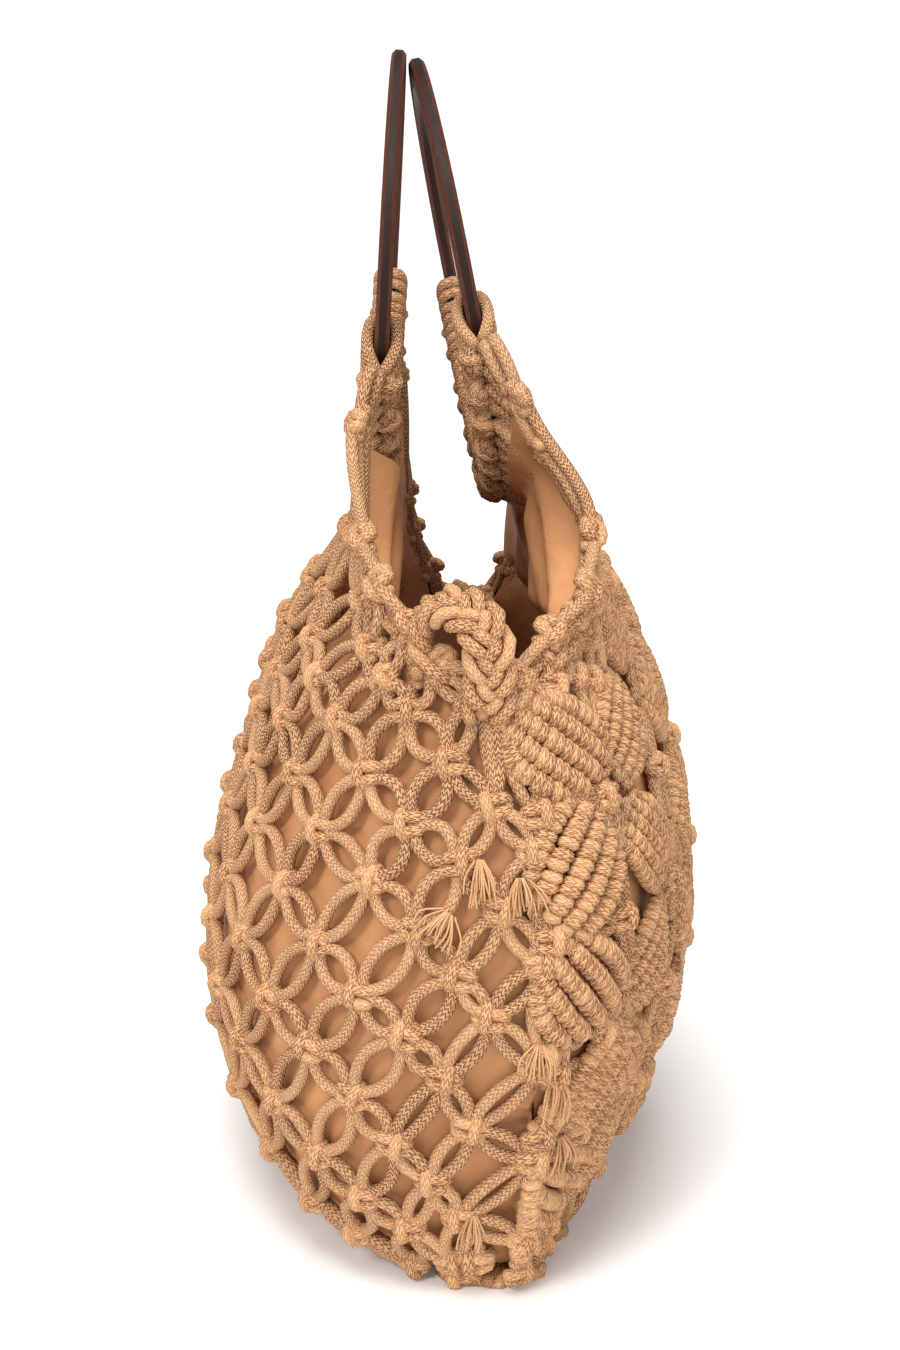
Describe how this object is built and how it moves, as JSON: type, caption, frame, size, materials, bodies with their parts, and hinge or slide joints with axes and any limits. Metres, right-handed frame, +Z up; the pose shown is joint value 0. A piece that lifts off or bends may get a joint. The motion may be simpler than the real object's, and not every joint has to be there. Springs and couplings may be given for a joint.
{
  "type": "macrame cord handbag",
  "caption": "Soft handbag of knotted cotton cord on wooden ring handles: net back, ribbed leaf front, satin lining, open sides and a flat base it stands on.",
  "frame": {"origin": "on the floor plane, under the middle of the bag's overall box", "axes": "+Z up, X along the bag's width with -X the end that faces the picture's camera, -Y the ribbed leaf panel (front), +Y the net panel (back)"},
  "size_m": [0.371, 0.2077, 0.4567],
  "materials": {
    "handle_wood": "dark red-brown stained wood with a gloss lacquer, chamfered edges a little redder",
    "cotton_cord": "matt braided cotton cord in warm tan",
    "satin_lining": "thin tan satin with a soft sheen"
  },
  "bodies": {
    "root": {"ring_back": "handle_wood", "ring_front": "handle_wood", "sleeve_back": "cotton_cord", "sleeve_front": "cotton_cord", "net_back": "cotton_cord", "leaf_front": "cotton_cord", "lining": "satin_lining", "rim_left": "cotton_cord", "rim_right": "cotton_cord", "loop_left": "cotton_cord", "loop_right": "cotton_cord"}
  },
  "joints": []
}
